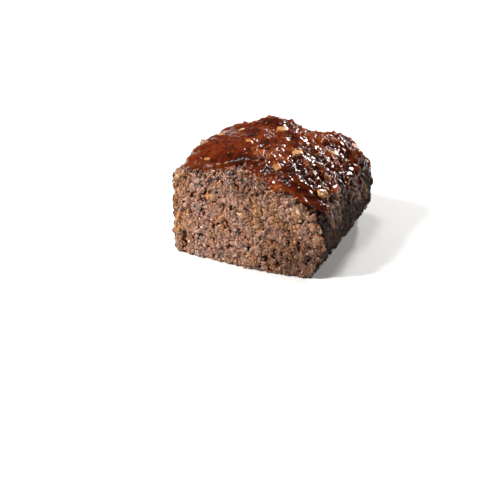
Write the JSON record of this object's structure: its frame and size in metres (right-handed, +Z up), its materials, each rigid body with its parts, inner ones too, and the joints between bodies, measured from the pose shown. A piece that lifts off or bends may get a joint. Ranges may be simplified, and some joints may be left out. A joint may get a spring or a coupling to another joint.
{
  "type": "meatloaf",
  "caption": "Uncut end of a hand-shaped meatloaf: crumbly cut face, craggy browned crust and a thick glossy sauce with diced onion on top.",
  "frame": {"origin": "middle of the outline seen from above, on the flat base", "axes": "+Z up; the cut face looks towards -Y and the loaf runs towards +Y; +X is to the right of someone looking at the cut face"},
  "size_m": [0.1198, 0.1198, 0.0758],
  "materials": {
    "meat": "matte",
    "glaze": "gloss"
  },
  "bodies": {
    "root": {"loaf": "meat", "sauce": "glaze"}
  },
  "joints": []
}
